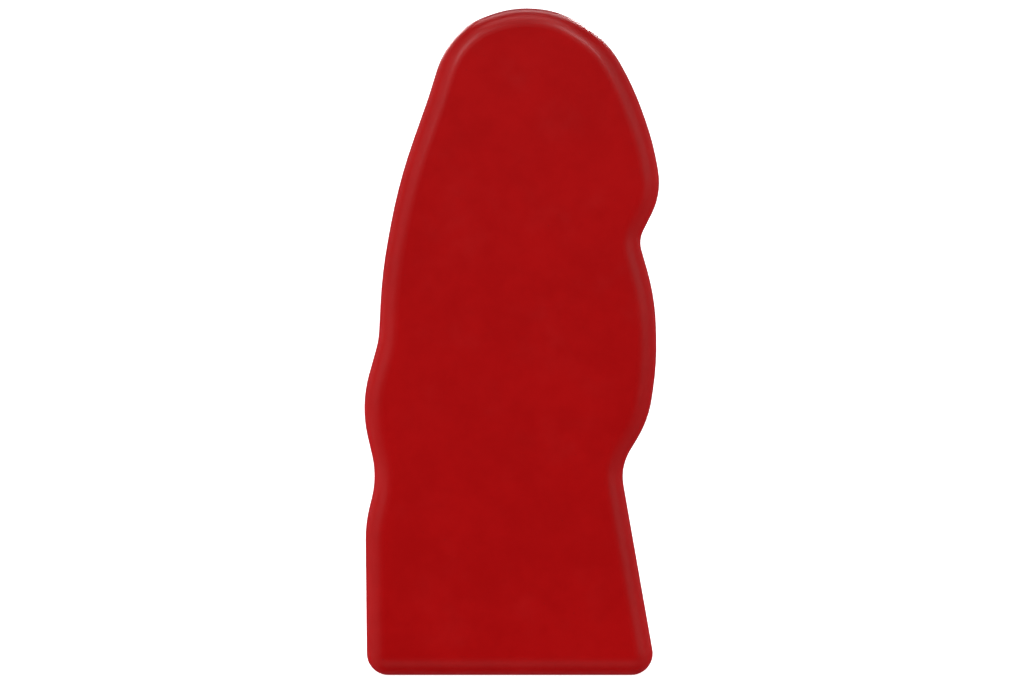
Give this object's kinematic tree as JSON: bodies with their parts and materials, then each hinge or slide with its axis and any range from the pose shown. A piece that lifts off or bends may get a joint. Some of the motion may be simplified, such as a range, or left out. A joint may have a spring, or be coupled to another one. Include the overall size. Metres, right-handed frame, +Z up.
{
  "type": "guiro",
  "caption": "Red hand-held scraper instrument: hollow two-shell case with finger notches along its flanks, a ridged hardwood board, a sound port and a clipped-in stick.",
  "frame": {"origin": "middle of the whole object's footprint, on the surface that its flat base stands on", "axes": "+Z up along the case, +Y out of the ridged front, -Y out of the smooth back that the reference view shows, +X to that view's right"},
  "size_m": [0.0885, 0.0434, 0.2],
  "materials": {
    "shell": "satin red moulded plastic, faintly mottled",
    "hardwood": "oiled hardwood, worn paler on the crests",
    "stick_wood": "turned pale hardwood, waxed",
    "black_plastic": "fine-grained moulded black plastic",
    "grip_rubber": "matt ribbed rubber",
    "gasket": "soft matt rubber",
    "felt": "pressed wool felt",
    "brass": "machined, knurled",
    "steel": "zinc-plated"
  },
  "bodies": {
    "case": {"back_shell": "shell", "front_shell": "shell", "seam_gasket": "gasket", "boss_inserts": "brass", "case_screws": "steel", "ridge_board": "hardwood", "board_felt": "felt", "board_screws": "steel", "port_ring": "black_plastic", "scraper_tray": "black_plastic", "upper_clip": "black_plastic", "lower_clip": "black_plastic", "clip_washers": "steel"},
    "scraper": {"scraper_stick": "stick_wood", "scraper_grip": "grip_rubber"}
  },
  "joints": [
    {"name": "scraper_lift", "type": "slide", "parent": "case", "child": "scraper", "axis": [0, 1, 0], "range_m": [0, 0.03]}
  ]
}
